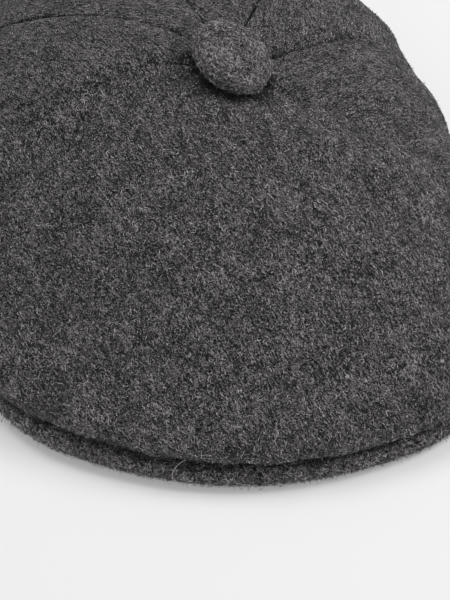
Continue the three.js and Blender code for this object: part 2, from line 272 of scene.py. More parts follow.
def twill_places(flat_x, flat_y, slant):
    """Places on the flat cloth, measured with the twill's ribs and over them."""
    return np.stack(turned(flat_x, flat_y, math.pi / 2 - slant), axis=-1)


# Milled wool twill: dark and pale fibres were blended before spinning, and fulling has felted them to a
# dense curly nap with small pits, painted darker for the shade in them, through which the slanting ribs
# only just show. Wool fibres are 0.03 mm thick, too fine to show, so the patterns are as coarse as the
# tufts and curls that they gather in.

# Length with the twill and width over it in millimetres, detail and roughness of each pattern
WOOL_PATTERNS = {
    "felt": (0.72, 0.46, 2, 0.85),
    "grain": (0.52, 0.40, 1, 0.6),
    "curl": (1.50, 1.05, 1, 0.5),
    "small_curl": (1.10, 0.90, 1, 0.5),
    "pit": (2.40, 0.90, 2, 0.6),
    "tuft": (3.40, 2.20, 2, 0.6),
    "mottling": (11.0, 8.0, 3, 0.6),
}

# Millimetres from rib to rib, drawn wider than the yarns for the same reason, and their wander
TWILL_RIB = 1.55
RIB_WANDER = 1.6

# How far to each side of the noise's middle a curl's line reaches, and where a pit ends and starts
CURL_LINES = {"curl": 0.045, "small_curl": 0.04}
PIT_DEPTHS = (0.30, 0.46)

# Share of each pattern in the cloth's tone and in its relief
MIDDLE_TONE = 0.43
TONE_SHARES = {"felt": 3.2, "grain": 2.8, "tuft": 1.1, "mottling": 0.85}
# The pits' negative share is painted shade, and the shift brings in each piece's own patches of tone
# with the painted shade of its seams, crease and button
MARK_SHARES = {"curl": 0.34, "small_curl": 0.3, "pit": -1.25, "rib": 0.12, "shift": 1}
RELIEF_SHARES = {"felt": 1.0, "grain": 0.5, "curl": 0.3, "small_curl": 0.2, "pit": -0.9, "rib": 0.1}

wool = new_material("milled_wool_twill")
cloth = add(wool, "ShaderNodeAttribute", attribute_name="cloth").outputs["Vector"]
pattern = {"shift": add(wool, "ShaderNodeAttribute", attribute_name="tone_shift").outputs["Fac"]}
for title, (length, width, detail, roughness) in WOOL_PATTERNS.items():
    stretched = add(wool, "ShaderNodeVectorMath", {
        0: cloth, 1: (1 / (length * MM), 1 / (width * MM), 1)}, operation="MULTIPLY")
    pattern[title] = add(wool, "ShaderNodeTexNoise", {
        "Vector": stretched.outputs[0], "Scale": 1, "Detail": detail, "Roughness": roughness},
        noise_dimensions="2D").outputs["Fac"]
for title, half_width in CURL_LINES.items():
    beside = add(wool, "ShaderNodeMath", {0: pattern[title], 1: 0.5}, operation="SUBTRACT")
    beside = add(wool, "ShaderNodeMath", {0: beside.outputs[0]}, operation="ABSOLUTE")
    pattern[title] = add(wool, "ShaderNodeMapRange", {
        "Value": beside.outputs[0], "From Max": half_width, "To Min": 1, "To Max": 0},
        interpolation_type="SMOOTHSTEP").outputs["Result"]
pattern["pit"] = add(wool, "ShaderNodeMapRange", {
    "Value": pattern["pit"], "From Min": PIT_DEPTHS[0], "From Max": PIT_DEPTHS[1],
    "To Min": 1, "To Max": 0}, interpolation_type="SMOOTHSTEP").outputs["Result"]
over_twill = add(wool, "ShaderNodeSeparateXYZ", {0: cloth}).outputs["Y"]
wandering = add(wool, "ShaderNodeMath", {
    0: pattern["tuft"], 1: RIB_WANDER * MM, 2: over_twill}, operation="MULTIPLY_ADD")
rib_turn = add(wool, "ShaderNodeMath", {
    0: wandering.outputs[0], 1: 2 * math.pi / (TWILL_RIB * MM)}, operation="MULTIPLY")
pattern["rib"] = add(wool, "ShaderNodeMath", {0: rib_turn.outputs[0]}, operation="SINE").outputs[0]

tone = MIDDLE_TONE - sum(TONE_SHARES.values()) / 2
for title, share in {**TONE_SHARES, **MARK_SHARES}.items():
    tone = add(wool, "ShaderNodeMath", {0: pattern[title], 1: share, 2: tone},
               operation="MULTIPLY_ADD").outputs[0]
relief = 0
for title, share in RELIEF_SHARES.items():
    relief = add(wool, "ShaderNodeMath", {0: pattern[title], 1: share, 2: relief},
                 operation="MULTIPLY_ADD").outputs[0]
wool_color = add(wool, "ShaderNodeValToRGB", {"Fac": tone}, [
    (0, "#040404"), (0.3, "#1d1b1c"), (0.5, "#3e3c3d"), (0.7, "#625f60"), (1, "#9a9798")])
wool_bump = add(wool, "ShaderNodeBump", {"Height": relief, "Strength": 1, "Distance": 0.0006})
wool_skin = add(wool, "ShaderNodeBsdfPrincipled", {
    "Base Color": wool_color.outputs["Color"], "Roughness": 0.95, "Normal": wool_bump.outputs[0],
    "Specular IOR Level": 0.15, "Sheen Weight": 0.34, "Sheen Roughness": 0.4,
    "Sheen Tint": linear("#b5b2b3")})
add(wool, "ShaderNodeOutputMaterial", {"Surface": wool_skin.outputs[0]})

# Wool fibres raised by milling and wear, each of its own grey, with painted shade at the root, which
# sits deep in the nap, and painted light at the tip
fibre = new_material("raised_wool_fibres")
shade = add(fibre, "ShaderNodeAttribute", attribute_name="shade").outputs["Fac"]
fibre_color = add(fibre, "ShaderNodeValToRGB", {"Fac": shade}, [
    (0, "#040404"), (0.35, "#252324"), (0.65, "#585556"), (0.9, "#928f90"), (1, "#c4c1c2")])
fibre_skin = add(fibre, "ShaderNodeBsdfPrincipled", {
    "Base Color": fibre_color.outputs["Color"], "Roughness": 0.7, "Specular IOR Level": 0.25,
    "Sheen Weight": 0.3, "Sheen Roughness": 0.4, "Sheen Tint": linear("#b5b2b3")})
add(fibre, "ShaderNodeOutputMaterial", {"Surface": fibre_skin.outputs[0]})


WAVE_LENGTHS = (0.6, 1.5)


def waves(u, v, wavelength, seed, count=16):
    """A smooth uneven field of height about 1, made of waves in all directions."""
    random = np.random.default_rng(seed)
    total = np.zeros(np.broadcast(u, v).shape)
    for _ in range(count):
        angle, phase = random.uniform(0, 2 * math.pi, 2)
        rate = 2 * math.pi / (wavelength * random.uniform(*WAVE_LENGTHS))
        total += np.sin(rate * (u * math.cos(angle) + v * math.sin(angle)) + phase)
    return total / math.sqrt(count / 2)


# Share of the tone, length in millimetres, times longer than wide, seed and number of waves
PATCHES = ((0.03, 26, 1.4, 8, 16), (0.026, 9, 1.5, 9, 40))


def patches(cloth_mm):
    """Slow changes of tone over the cloth, longer with the twill than over it."""
    return sum(share * waves(cloth_mm[..., 0], cloth_mm[..., 1] * stretch, length, seed, count)
               for share, length, stretch, seed, count in PATCHES)


# Painted shade on a fibre's two root corners and painted light towards its tip, added to its own grey
FIBRE_ROOT_SHADE_TIP_LIGHT = [-0.25, -0.25, 0.05, 0.05, 0.15]
FIBRE_SHADE_SPREAD = 0.37
FIBRE_PATCHINESS = 1.5
FIBRE_ROOT_DEPTH = 0.08
FIBRE_SHORTEST = 0.6
FIBRE_LOWNESS = 1.5
FIBRE_TIP_PLACE = 0.95
FIBRE_TIP_RISE = (-0.2, 1.3)
FIBRE_ROLL = 0.5
FIBRE_WIDTHS = (0.5, 1.3)
STRAY_RISE = 3.5
STRAY_THINNESS = 0.55
LEAST_HEIGHT = 0.1


def strands(name, corners, shades):
    """Flat tapered strands of five corners each, clear of the table: two roots, two middles, a tip."""
    first = 5 * np.arange(len(corners))
    faces = np.stack([first, first + 1, first + 3, first + 2], -1).tolist()
    faces += np.stack([first + 2, first + 3, first + 4], -1).tolist()
    corners[..., 2] = np.maximum(corners[..., 2], LEAST_HEIGHT)
    return new_piece(name, corners, faces, fibre, "melton_wool", shade=np.clip(shades, 0, 1).ravel())


def lay_fibres(name, points, normals, cloth_mm, weights, count, seed,
               lengths=(0.8, 2.4), lift=0.3, width=0.18, wander=34, curl=0.35, stray=0.06, tone=0.5):
    """Fibres strewn over a grid of points, most of them lying with the cloth's first coordinate.

    Sizes are in millimetres and wander in degrees. The width is that of a small lock of fibres,
    because one fibre is too fine to show. A fibre bows sideways by the share curl of its length,
    and the share stray of them stand out.
    """
    random = np.random.default_rng(seed)
    down_step, across_step = np.gradient(points, axis=0), np.gradient(points, axis=1)
    area = np.linalg.norm(np.cross(down_step, across_step), axis=-1) * weights
    cells = area[:-1, :-1].ravel()
    chosen = random.choice(len(cells), count, p=cells / cells.sum())
    row, column = np.divmod(chosen, points.shape[1] - 1)
    u, v = random.random((2, count, 1))

    def pick(grid):
        upper = grid[row, column] * (1 - v) + grid[row, column + 1] * v
        lower = grid[row + 1, column] * (1 - v) + grid[row + 1, column + 1] * v
        return upper * (1 - u) + lower * u

    root, up = pick(points), unit(pick(normals))
    fall, side = pick(down_step), pick(across_step)
    cloth_fall, cloth_side = (pick(np.gradient(cloth_mm, axis=k)) for k in (0, 1))
    size = cloth_fall[:, 0] * cloth_side[:, 1] - cloth_side[:, 0] * cloth_fall[:, 1]
    size = np.where(np.abs(size) < LEAST_SIZE, LEAST_SIZE, size)
    ahead = fall * (cloth_side[:, 1] / size)[:, None] - side * (cloth_fall[:, 1] / size)[:, None]
    ahead = unit(ahead - up * (ahead * up).sum(-1, keepdims=True))
    aside = np.cross(up, ahead)
    turn = np.radians(random.normal(0, wander, count))[:, None]
    turn += math.pi * (random.random((count, 1)) < 0.5)
    heading = ahead * np.cos(turn) + aside * np.sin(turn)
    beside = np.cross(up, heading)
    length = random.uniform(*lengths, (count, 1)) * random.uniform(FIBRE_SHORTEST, 1, (count, 1))
    stands = random.random((count, 1)) < stray
    rise = lift * random.random((count, 1)) ** FIBRE_LOWNESS * np.where(stands, STRAY_RISE, 1)
    sweep = random.normal(0, curl, (count, 1)) * length
    middle = root + heading * length / 2 + up * rise + beside * sweep
    tip_rise = rise * random.uniform(*FIBRE_TIP_RISE, (count, 1))
    tip = root + heading * length * FIBRE_TIP_PLACE + up * tip_rise
    roll = random.normal(0, FIBRE_ROLL, (count, 1))
    flat = (beside * np.cos(roll) + up * np.sin(roll)) * width / 2
    flat *= random.uniform(*FIBRE_WIDTHS, (count, 1)) * np.where(stands, STRAY_THINNESS, 1)
    root = root - up * FIBRE_ROOT_DEPTH
    corners = np.stack([root - flat, root + flat, middle - flat, middle + flat, tip], axis=1)
    # Each fibre's own grey, with painted shade at its root and painted light at its tip
    shades = random.normal(tone, FIBRE_SHADE_SPREAD, (count, 1)) + FIBRE_ROOT_SHADE_TIP_LIGHT
    shades += FIBRE_PATCHINESS * patches(pick(cloth_mm))[:, None]
    return strands(name, corners, shades)


edge_radius = PEAK_THICKNESS / 2
peak_azimuth = np.linspace(PEAK["azimuth"][0], PEAK["azimuth"][-1], PEAK_COLUMNS)
rim = between(PEAK, "reach", peak_azimuth) - edge_radius
root = reach_to_band(0, APEX_Y, peak_azimuth)
share = np.linspace(0, 1, PEAK_ROWS)[:, None]
upper_reach = root + (rim - root) * share
upper_height = peak_top(peak_azimuth, upper_reach)
bend = np.radians(np.linspace(90, -90, PEAK_EDGE_STEPS + 2)[1:-1])[:, None]
edge_height = upper_height[-1] - edge_radius + edge_radius * np.sin(bend)
reach = np.concatenate([upper_reach, rim + edge_radius * np.cos(bend), upper_reach[::-1]])
height = np.concatenate([upper_height, edge_height, upper_height[::-1] - PEAK_THICKNESS])
peak_x, peak_y = compass(peak_azimuth)
peak_grid = np.stack([peak_x * reach, APEX_Y + peak_y * reach, height], axis=-1)
down_step = np.gradient(peak_grid, axis=0)
peak_normal = unit(np.cross(down_step, np.gradient(peak_grid, axis=1)))
travel = np.cumsum(np.linalg.norm(down_step, axis=-1), axis=0)
peak_cloth = twill_places(peak_grid[..., 0], -travel, PEAK_TWILL_SLANT)
at = np.arange(reach.size).reshape(reach.shape)
faces = quads(np.concatenate([at, at[:1]])) + [at[:, 0][::-1].tolist(), at[:, -1].tolist()]
peak = new_piece("covered_peak", peak_grid, faces, wool, "melton_wool", cloth=cloth_places(peak_cloth))
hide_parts("peak")

# The nap shows at the rounded edge, where rubbing has raised it in all directions
rows_from_edge = (np.arange(len(reach)) - PEAK_ROWS - PEAK_EDGE_STEPS // 2)[:, None]
weights = NAP_ON_PEAK_FACES + np.exp(-((rows_from_edge / NAP_ROWS_AT_EDGE) ** 2))
lay_fibres("peak_nap", peak_grid, peak_normal, peak_cloth, weights, count=PEAK_FIBRES, seed=40,
           lengths=(1.0, 3.2), lift=0.5, wander=70, curl=0.5, stray=0.10, tone=0.66)

# Crown
# One wide front panel and five narrow ones of the milled wool, sewn face to face along seams that
# meet under the button. The crown is empty, so it has slumped and is creased. Its hem is turned in
# and sewn to the peak at the front and to the headband elsewhere.

CLOTH_THICKNESS = 2.2
TUCK_ON_PEAK = 12
SEWN_BEHIND_EDGE = 8
HEM_HEIGHT = 2.6
SEAM_OPEN = 0.02

# The panels meet in a small hole under the button. The cloth leans there, and falls to the fold in
# a curve whose handles are shares of its length
APEX_X = -5.3
APEX_HEIGHT = 64
APEX_HOLE = 3
APEX_SLOPE = math.radians(5)
LEAN_RIGHT = 0.22
LEAN_FRONT = 0.06
LEAN_SPREAD = 34
TOP_HANDLE = 0.42
SHOULDER_HANDLE = 0.36

# A panel's puff grows over the first millimetres from the button and dies out under the fold
PUFF_START = 20
PUFF_FADE = 1.5

# Each row is one section through the cloth: azimuth about the button's place, reach, radius and
# height of the fold, angles of the cloth above and under it, and share of the hem that is sewn on
# the peak
CROWN = table("azimuth reach fold_radius fold_height upper lower on_peak", [
    [0, 132.8, 4.0, 11.8, 62, 90, 1],
    [17, 133.2, 4.0, 11.8, 62, 90, 1],
    [34, 131.0, 4.0, 11.9, 62, 90, 1],
    [50, 119.5, 5.0, 13.0, 60, 90, 1],
    [62, 103.5, 8.0, 16.0, 56, 88, 1],
    [75, 88.0, 10.5, 18.6, 50, 80, 0.9],
    [88, 80.4, 11.0, 20.5, 42, 72, 0],
    [104, 79.6, 12.0, 21.5, 34, 66, 0],
    [128, 85.8, 13.0, 22.0, 34, 64, 0],
    [147, 101.0, 15.0, 22.0, 38, 62, 0],
    [164, 119.5, 15.0, 21.0, 44, 60, 0],
    [180, 131.0, 15.0, 21.0, 46, 60, 0],
    [200, 132.5, 17.0, 22.0, 46, 60, 0],
    [224, 122.5, 18.0, 23.0, 46, 60, 0],
    [252, 113.0, 18.0, 23.0, 46, 62, 0],
    [276, 110.0, 16.0, 22.0, 50, 68, 0],
    [290, 110.0, 13.0, 20.8, 54, 78, 0.9],
    [301, 113.5, 9.0, 17.0, 58, 86, 1],
    [314, 119.5, 5.5, 13.6, 60, 90, 1],
    [328, 124.2, 4.0, 12.0, 62, 90, 1],
    [344, 128.6, 4.0, 11.8, 62, 90, 1],
])

# Azimuth of each seam, its twist near the button and how far down the twist reaches
SEAMS = {
    "right_front": (77, 0, 0.3),
    "right_rear": (132, -4, 0.3),
    "rear_right": (166, 0, 0.3),
    "rear_left": (204, -14, 0.35),
    "left_rear": (244, -27, 0.3),
    "left_front": (289, -20, 0.24),
}

# How round the two edges of a seam are at each stage down the panel: milling has drawn some seams
# nearly shut, and others still show as a groove
SEAM_STAGES = (0, 0.3, 0.55, 1, 2, 3)
SEAM_EDGES = {
    "right_front": (0.3, 0.2, 0.15, 0.15, 0.8, 0.8),
    "right_rear": (1.0, 1.1, 0.6, 0.3, 1.2, 1.2),
    "rear_right": (0.9, 1.1, 1.3, 1.5, 1.5, 1.2),
    "rear_left": (0.4, 0.6, 1.2, 1.5, 1.5, 1.2),
    "left_rear": (0.35, 0.5, 1.4, 1.9, 1.5, 1.2),
    "left_front": (0.15, 0.15, 0.2, 0.3, 0.8, 0.8),
}

# Seam, next seam, how far the panel stands proud of them, slant of its twill, its width, mesh
# columns and number of short fibres
PANELS = {
    "crown_front": ("left_front", "right_front", 1.2, 28, 270, 150, 60000),
    "crown_right": ("right_front", "right_rear", 0.9, 28, 90, 44, 18000),
    "crown_rear_right": ("right_rear", "rear_right", 1.2, 28, 90, 44, 11000),
    "crown_rear": ("rear_right", "rear_left", 1.4, 28, 90, 44, 12000),
    "crown_rear_left": ("rear_left", "left_rear", 1.4, 30, 90, 44, 13000),
    "crown_left": ("left_rear", "left_front", 1.8, -50, 90, 44, 20000),
}

# Swells and soft folds of the slumped cloth: "along" is the direction of a fold's length
FOLDS = table("x y along length width height", [
    [-52, 12, 80, 60, 40, 5.5],
    [44, 44, 120, 52, 30, -1.5],
    [-62, -38, 205, 46, 7, -2.2],
    [-44, -22, 205, 42, 8, 1.6],
    [34, -46, 8, 30, 8, 1.3],
    [38, -60, 4, 34, 12, -1.2],
    [24, 4, 60, 14, 6, -1.6],
    [-30, -86, 150, 46, 18, 1.0],
    [13.1, 1.6, 78, 4.5, 1.4, -1.2],
    [14.0, -4.9, -63, 4.5, 1.4, -1.2],
    [26, -41.5, 21, 16, 3, 0.7],
])
GATHERS = 11
GATHER_HEIGHT = 0.9
GATHER_SPREAD = 13


def slump(x, y):
    """Height that the slump, the folds and the gathers add."""
    from_x, from_y = x - APEX_X, y - APEX_Y
    reach = np.hypot(from_x, from_y)
    lean = LEAN_RIGHT * from_x - LEAN_FRONT * from_y
    height = -lean * np.exp(-((reach / LEAN_SPREAD) ** 2))
    for i in range(len(FOLDS["x"])):
        fold = {column: values[i] for column, values in FOLDS.items()}
        u, v = turned(x - fold["x"], y - fold["y"], -math.radians(fold["along"]))
        height += fold["height"] * np.exp(-((u / fold["length"]) ** 2) - (v / fold["width"]) ** 2)
    gathers = np.cos(GATHERS * np.arctan2(from_y, from_x)) * np.exp(-reach / GATHER_SPREAD)
    return height + GATHER_HEIGHT * gathers


def about_peak(x, y):
    """Azimuth of a place as the peak's table has it."""
    limit = PEAK["azimuth"][-1]
    return np.clip(np.degrees(np.arctan2(x, APEX_Y - y)), -limit, limit)


def hem_place(azimuth, section):
    """Where the cloth ends: reach and height, on the peak or beside the headband."""
    step_x, step_y = compass(azimuth)
    band = reach_to_band(APEX_X, APEX_Y, azimuth)
    edge = about_peak(APEX_X + step_x * section["reach"], APEX_Y + step_y * section["reach"])
    edge_x, edge_y = compass(edge)
    edge_reach = between(PEAK, "reach", edge)
    sewn = np.hypot(edge_x * edge_reach - APEX_X, edge_y * edge_reach) - SEWN_BEHIND_EDGE
    on_peak = np.minimum(section["reach"] - TUCK_ON_PEAK, sewn)
    reach = np.maximum(band, band + (on_peak - band) * section["on_peak"])
    x, y = APEX_X + step_x * reach, APEX_Y + step_y * reach
    top = peak_top(about_peak(x, y), np.hypot(x, APEX_Y - y)) + SEAM_GAP
    return reach, HEM_HEIGHT + (top - HEM_HEIGHT) * section["on_peak"]


def section_line(section, hem, down):
    """Reach and height at 0 by the button, 1 at the fold, 2 under it and 3 at the hem."""
    upper, lower = np.radians(section["upper"]), np.radians(section["lower"])
    radius = section["fold_radius"]

    def on_fold(angle):
        reach = section["reach"] - radius * (1 - np.cos(angle))
        return reach, section["fold_height"] + radius * np.sin(angle)

    fold = on_fold(upper - (upper + lower) * np.clip(down - 1, 0, 1))
    turn = on_fold(-lower)
    t = np.clip(down - 2, 0, 1)
    under = [turn[k] + (hem[k] - turn[k]) * t for k in (0, 1)]
    start, end = (APEX_HOLE, APEX_HEIGHT), on_fold(upper)
    length = np.hypot(end[0] - start[0], end[1] - start[1])
    first = (math.cos(APEX_SLOPE) * TOP_HANDLE * length, -math.sin(APEX_SLOPE) * TOP_HANDLE * length)
    second = (-np.sin(upper) * SHOULDER_HANDLE * length, np.cos(upper) * SHOULDER_HANDLE * length)
    t = np.clip(down, 0, 1)
    top = [
        start[k] * (1 - t) ** 3 + 3 * (start[k] + first[k]) * t * (1 - t) ** 2
        + 3 * (end[k] + second[k]) * t * t * (1 - t) + end[k] * t**3
        for k in (0, 1)
    ]
    return [np.where(down > 2, under[k], np.where(down > 1, fold[k], top[k])) for k in (0, 1)]


# Step for slopes along and across a panel
NEAR = 0.004


def crown_point(azimuth, down, puff):
    """A place on the crown's outer face, pushed out by the puff."""
    section = {column: between(CROWN, column, azimuth, True) for column in CROWN}
    section["on_peak"] = np.clip(section["on_peak"], 0, 1)
    room = section["reach"] - reach_to_band(APEX_X, APEX_Y, azimuth) - CLOTH_THICKNESS
    steepest = np.arccos(np.clip(1 - room / section["fold_radius"], -1, 1))
    section["lower"] = np.minimum(section["lower"], np.degrees(steepest))
    hem = hem_place(azimuth, section)
    reach, height = section_line(section, hem, down)
    ahead = section_line(section, hem, np.minimum(down + NEAR, 3))
    behind = section_line(section, hem, np.maximum(down - NEAR, 0))
    along, fall = ahead[0] - behind[0], ahead[1] - behind[1]
    size = np.hypot(along, fall)
    puffed = puff * np.maximum(0, 1 - np.maximum(down - 1, 0) / PUFF_FADE)
    reach = reach - fall / size * puffed
    height = height + along / size * puffed
    step_x, step_y = compass(azimuth)
    x, y = APEX_X + step_x * reach, APEX_Y + step_y * reach
    return np.stack([x, y, height + slump(x, y) * (1 - np.minimum(down, 1) ** 4)], axis=-1)


def panel_azimuth(name, across, down):
    """Azimuth of a place on a panel, whose seams twist near the button."""
    start, end = (
        SEAMS[seam][0] + SEAMS[seam][1] * np.exp(-np.minimum(down, 1) / SEAMS[seam][2])
        for seam in PANELS[name][:2]
    )
    return start + np.mod(end - start, 360) * across


def panel_point(name, across, down):
    """A place on a panel: across runs from 0 at one seam to 1 at the next."""
    azimuth = panel_azimuth(name, across, down)
    flat = crown_point(azimuth, down, 0)
    reach = np.linalg.norm(flat - np.array([APEX_X, APEX_Y, APEX_HEIGHT]), axis=-1)
    gap = np.degrees(np.arcsin(SEAM_OPEN / 2 / np.maximum(reach, APEX_HOLE)))
    proud = PANELS[name][2] * (1 - (2 * across - 1) ** 4) * np.minimum(1, reach / PUFF_START)
    return crown_point(azimuth + gap * (1 - 2 * across), down, proud)


TWILL_SPREAD = 0.95
GROOVE_WIDTH = 0.6
TIGHT_SEAM = 0.2
BAND_CLEARANCE = 1

# Height and length in millimetres and seed of each unevenness
UNEVENNESS = ((0.22, 24, 5), (0.07, 7, 6))


def cloth_of(name, across, down):
    """Faces of a panel, its normals, the cloth's own coordinates and how deep in a seam it is."""
    outer = panel_point(name, across, down)
    wide = panel_point(name, np.minimum(across + NEAR, 1), down)
    wide = wide - panel_point(name, np.maximum(across - NEAR, 0), down)
    fall = panel_point(name, across, np.minimum(down + NEAR, 3))
    fall = fall - panel_point(name, across, np.maximum(down - NEAR, 0))
    normal = -unit(np.cross(wide, fall))

    # The inner face keeps clear of the headband
    inner = outer - normal * CLOTH_THICKNESS
    apex_place = np.array([APEX_X, APEX_Y])
    direction = unit(outer[..., :2] - apex_place)
    azimuth = np.degrees(np.arctan2(direction[..., 0], -direction[..., 1]))
    beside_band = inner[..., 2] < BAND_HEIGHT + BAND_CLEARANCE
    least = np.where(beside_band, reach_to_band(APEX_X, APEX_Y, azimuth), APEX_HOLE)
    reach = np.maximum(((inner[..., :2] - apex_place) * direction).sum(-1), least)
    inner[..., :2] = apex_place + direction * reach[..., None]

    # The turned seam edges are pressed round, and the cloth is never quite flat
    at_end = (across < NEAR) | (across > 1 - NEAR)
    width = np.linalg.norm(wide, axis=-1) / np.where(at_end, NEAR, 2 * NEAR)
    from_seam = np.minimum(across, 1 - across) * width
    rounding = np.where(across < 0.5, *(
        np.interp(down, SEAM_STAGES, SEAM_EDGES[seam]) for seam in PANELS[name][:2]))
    inside = np.clip(rounding - from_seam, 0, rounding)
    drop = rounding - np.sqrt(rounding**2 - inside**2)
    unevenness = sum(height * waves(outer[..., 0], outer[..., 1], length, seed)
                     for height, length, seed in UNEVENNESS)
    outer = outer + normal * (unevenness - drop)[..., None]
    groove = np.exp(-((from_seam / GROOVE_WIDTH) ** 2)) * np.clip(rounding - TIGHT_SEAM, 0, 1)

    # Laid flat, a panel is a wedge that fans out from the button
    lengths = np.linalg.norm(np.diff(outer, axis=0), axis=-1)
    along = APEX_HOLE + np.concatenate([np.zeros((1, lengths.shape[1])), np.cumsum(lengths, axis=0)])
    start, end = (SEAMS[seam][0] for seam in PANELS[name][:2])
    middle = start + (end - start) % 360 / 2
    bearing = panel_azimuth(name, across, down)
    spread = TWILL_SPREAD * np.radians((bearing - middle + 180) % 360 - 180)
    slant = math.radians(PANELS[name][3])
    cloth_mm = twill_places(along * np.sin(spread), -along * np.cos(spread), slant)
    return outer, inner, normal, cloth_mm, groove


def wall_faces(rows, columns):
    """Faces of a closed wall between an outer and an inner grid."""
    front, back = np.arange(2 * rows * columns).reshape(2, rows, columns)
    sides = quads(np.stack([front[:, 0], back[:, 0]])) + quads(np.stack([front[:, -1], back[:, -1]]).T)
    ends = quads(np.stack([front[0], back[0]]).T) + quads(np.stack([front[-1], back[-1]]))
    return quads(front) + quads(back.T) + sides + ends


# Mesh rows above the fold, round it and under it, and distances of the columns next to a seam
MESH_ROWS = (72, 12, 8)
NEXT_TO_SEAM = np.array([0, 0.2, 0.45, 0.8, 1.2, 1.8, 2.6])

# Painted shade: the wool under the button is painted nearly black for the shadow under its rim, and the
# cloth round it, drawn down into a hollow, is painted darker for the shade there
UNDER_BUTTON_PLACE = np.array([APEX_X + 2.4, APEX_Y - 1.2])
BUTTON_SHADOW_REACH = 13.4
BUTTON_SHADOW_EDGE = 0.6
BUTTON_SHADOW_TONE = -0.8
HOLLOW_SHADE_REACH = 12
HOLLOW_SHADE_SPREAD = 4.5
HOLLOW_SHADE_TONE = -0.12
# Seam grooves are painted darker for the shade in them
GROOVE_SHADE_TONE = -0.45
LONG_FIBRES = 45000

# The nap is thickest on the rolled fold, and thin under it, by the button and in the seams
ON_FOLD = 0.97
UNDER_FOLD = 2.2
NAP_ON_FOLD = 1.6
NAP_UNDER_FOLD = 0.15
NAP_BY_BUTTON = 0.1
PRESSED_NAP_REACH = 13.8
NAP_LOST_IN_SEAM = 0.8

for index, (panel, (_, _, _, _, widest, columns, fibres)) in enumerate(PANELS.items()):
    edge = NEXT_TO_SEAM / widest
    inside = np.linspace(edge[-1], 1 - edge[-1], columns)[1:-1]
    across = np.concatenate([edge, inside, 1 - edge[::-1]])
    down = np.concatenate([np.linspace(k, k + 1, rows)[min(k, 1):] for k, rows in enumerate(MESH_ROWS)])
    across, down = np.meshgrid(across, down)
    outer, inner, normal, cloth_mm, groove = cloth_of(panel, across, down)
    from_button = np.linalg.norm(outer[..., :2] - UNDER_BUTTON_PLACE, axis=-1)
    # The wool's own patches of tone, with painted shade in the seam grooves
    shift = patches(cloth_mm) + GROOVE_SHADE_TONE * groove
    # Painted shadow under the button's rim and painted shade in the hollow round it
    shift += BUTTON_SHADOW_TONE / (1 + np.exp((from_button - BUTTON_SHADOW_REACH) / BUTTON_SHADOW_EDGE))
    shift += HOLLOW_SHADE_TONE * np.exp(-(((from_button - HOLLOW_SHADE_REACH) / HOLLOW_SHADE_SPREAD) ** 2))
    wall = new_piece(panel + "_cloth", np.stack([outer, inner]), wall_faces(*across.shape), wool,
                     "melton_wool", cloth=cloth_places(np.stack([cloth_mm] * 2)),
                     tone_shift=np.stack([shift] * 2).ravel())
    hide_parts(panel)

    weights = np.where(down > UNDER_FOLD, NAP_UNDER_FOLD, 1) * np.where(down > ON_FOLD, NAP_ON_FOLD, 1)
    weights = weights * np.where(from_button < PRESSED_NAP_REACH, NAP_BY_BUTTON, 1)
    weights = weights * (1 - NAP_LOST_IN_SEAM * groove)
    lay_fibres(panel + "_nap", outer, normal, cloth_mm, weights, count=fibres, seed=20 + index)
    if panel == "crown_front":
        lay_fibres("crown_front_long_nap", outer, normal, cloth_mm, weights, count=LONG_FIBRES,
                   seed=30, lengths=(1.2, 3.4), lift=0.4, curl=0.45, tone=0.56)

# Button
# A domed button covered with a round of the same wool, gathered behind it. It sits on a sewn
# shank that goes down through the hole where the six panels meet, and leans to the right and front.

BUTTON_RADIUS = 14
BUTTON_SHANK = 1.6
SHANK_END = -4
BUTTON_BACK = 2.6
BUTTON_WIDEST = 5.8
BUTTON_TOP = 11.2
BUTTON_LEAN_RIGHT = 0.467
BUTTON_LEAN_FRONT = 0.216
BUTTON_SIDES = 96
PIN_HOLE = 0.05
BUTTON_TONE = 0.04
BUTTON_FIBRES = 14000
LUMP_HEIGHT = 0.16
LUMP_LENGTH = 9
LUMP_FADE = 6

# Shares of the radius that the flat of the back and the flat of the top take up, and how far up
# from the widest place the side stays steep
BACK_FLAT = 0.72
TOP_FLAT = 0.6
STEEP_SIDE = 0.62

# A crease pressed into the cover
COVER_CREASE = {"x": -0.95, "y": 0.9, "turn": math.radians(27), "length": 1.7, "width": 0.35}
CREASE_DEPTH = 0.6
# The crease is painted darker for the shade in it
CREASE_SHADE_TONE = -0.6
SWIRL = 0.9
NAP_LOST_IN_CREASE = 0.9
NAP_AT_MIDDLE = 0.3
NAP_ON_BACK = 0.02
MIDDLE_RADIUS = 3


def bezier(points, count):
    """Points along the curve that a few control points give."""
    t = np.linspace(0, 1, count)[:, None]
    curve = [np.array([point], dtype=float) for point in points]
    while len(curve) > 1:
        curve = [a + (b - a) * t for a, b in zip(curve[:-1], curve[1:])]
    return curve[0]


shoulder = BUTTON_WIDEST + (BUTTON_TOP - BUTTON_WIDEST) * STEEP_SIDE
back = bezier([(BUTTON_RADIUS * BACK_FLAT, BUTTON_BACK), (BUTTON_RADIUS, BUTTON_BACK),
               (BUTTON_RADIUS, BUTTON_WIDEST)], 14)
dome = bezier([(BUTTON_RADIUS, BUTTON_WIDEST), (BUTTON_RADIUS, shoulder),
               (BUTTON_RADIUS * TOP_FLAT, BUTTON_TOP), (PIN_HOLE, BUTTON_TOP)], 50)
shank = [(PIN_HOLE, SHANK_END), (BUTTON_SHANK, SHANK_END), (BUTTON_SHANK, BUTTON_BACK),
         (BUTTON_RADIUS / 2, BUTTON_BACK)]
profile = np.concatenate([shank, back, dome[1:]])[::-1]
radius, rise = profile[:, :1], profile[:, 1:]
spin = np.linspace(0, 2 * math.pi, BUTTON_SIDES + 1)
button_x, button_y = radius * np.cos(spin), radius * np.sin(spin)
